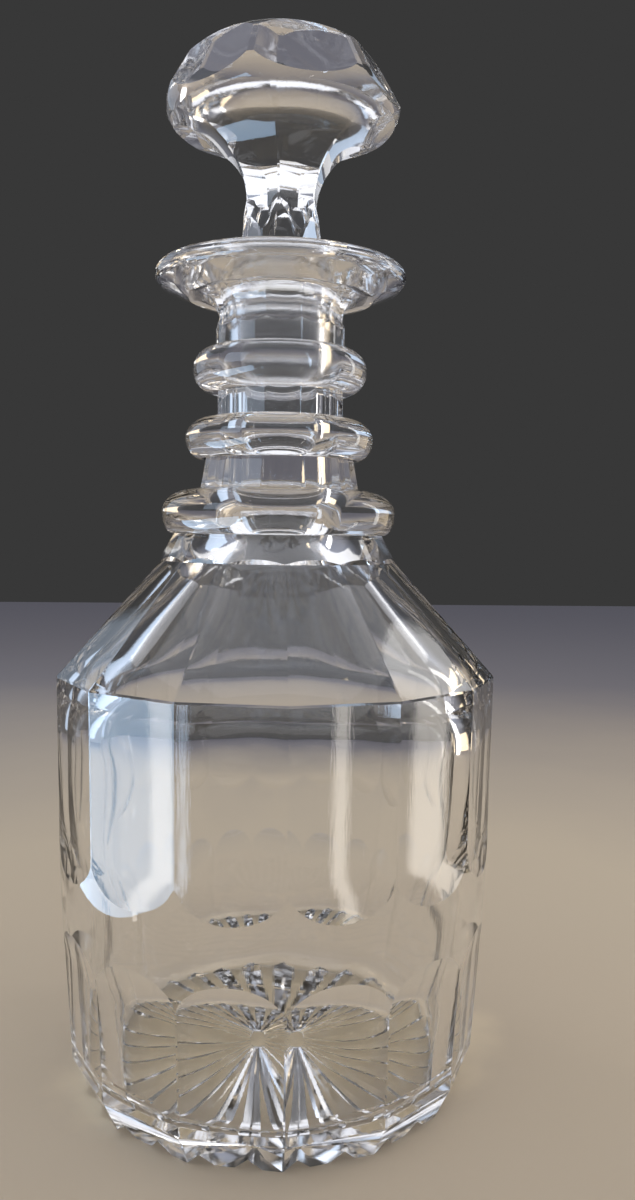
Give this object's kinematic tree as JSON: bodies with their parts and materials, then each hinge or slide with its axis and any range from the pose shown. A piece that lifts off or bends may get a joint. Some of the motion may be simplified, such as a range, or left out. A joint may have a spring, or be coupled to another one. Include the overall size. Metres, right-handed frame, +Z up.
{
  "type": "glass decanter with stopper",
  "caption": "Heavy cut-glass decanter with a fluted round body, star-cut foot, ringed neck, flat flared lip and a mushroom stopper that lifts out of the ground socket.",
  "frame": {"origin": "middle of the foot, on the surface it stands on", "axes": "+Z up along the bottle's own axis; -Y is the front, where one arris between two flutes faces"},
  "size_m": [0.1088, 0.1104, 0.26],
  "materials": {
    "bottle_glass": "clear lead crystal, wheel cut and polished",
    "ring_glass": "clear lead crystal, fire polished",
    "stopper_glass": "clear lead crystal, wheel cut and polished, with a finely ground plug"
  },
  "bodies": {
    "decanter": {"bottle_body": "bottle_glass", "neck_ring_lower": "ring_glass", "neck_ring_middle": "ring_glass", "neck_ring_upper": "ring_glass"},
    "stopper": {"stopper": "stopper_glass"}
  },
  "joints": [
    {"name": "stopper_lift", "type": "slide", "parent": "decanter", "child": "stopper", "axis": [0, 0, 1], "range_m": [0, 0.045]}
  ]
}
